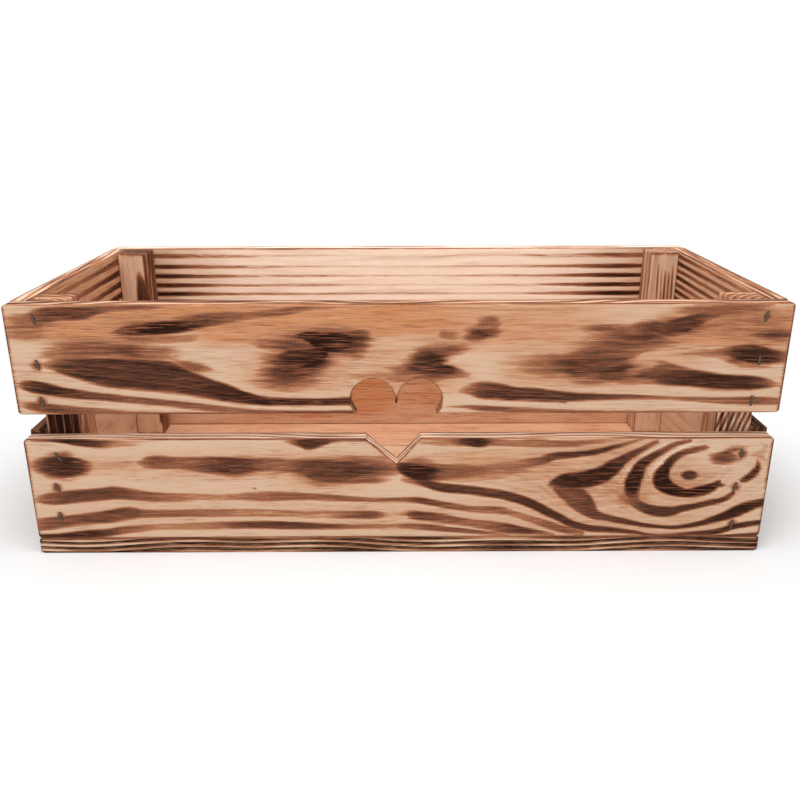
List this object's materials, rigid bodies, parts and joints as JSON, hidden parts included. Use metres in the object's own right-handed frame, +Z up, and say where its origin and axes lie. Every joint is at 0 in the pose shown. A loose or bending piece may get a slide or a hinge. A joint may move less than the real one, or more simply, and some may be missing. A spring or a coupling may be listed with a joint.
{
  "type": "open slatted crate",
  "caption": "Open-topped crate of flame-scorched softwood slats on corner posts, with a heart cut across its two front slats, to stand wedding cards in.",
  "frame": {"origin": "middle of the underside, where the crate rests", "axes": "+X along the crate to the right, as seen from the front; -Y towards the front with the heart; +Z up"},
  "size_m": [0.42, 0.185, 0.149],
  "materials": {
    "scorched_face": "brushed and flame-scorched softwood, matt",
    "scorched_side": "brushed and flame-scorched softwood, matt",
    "corner_post": "sawn softwood batten, scorched on its outer and end faces",
    "floor_board": "planed softwood, scorched on its outer edges",
    "staple_wire": "galvanised wire, dulled by the flame"
  },
  "bodies": {
    "root": {"front_upper_slat": "scorched_face", "front_lower_slat": "scorched_face", "back_upper_slat": "scorched_face", "back_lower_slat": "scorched_face", "left_upper_slat": "scorched_side", "left_lower_slat": "scorched_side", "right_upper_slat": "scorched_side", "right_lower_slat": "scorched_side", "post_front_left": "corner_post", "post_front_right": "corner_post", "post_back_left": "corner_post", "post_back_right": "corner_post", "floor_board_front": "floor_board", "floor_board_middle": "floor_board", "floor_board_back": "floor_board", "front_upper_staples": "staple_wire", "front_lower_staples": "staple_wire", "back_upper_staples": "staple_wire", "back_lower_staples": "staple_wire", "left_staples": "staple_wire", "right_staples": "staple_wire", "floor_staples": "staple_wire"}
  },
  "joints": []
}
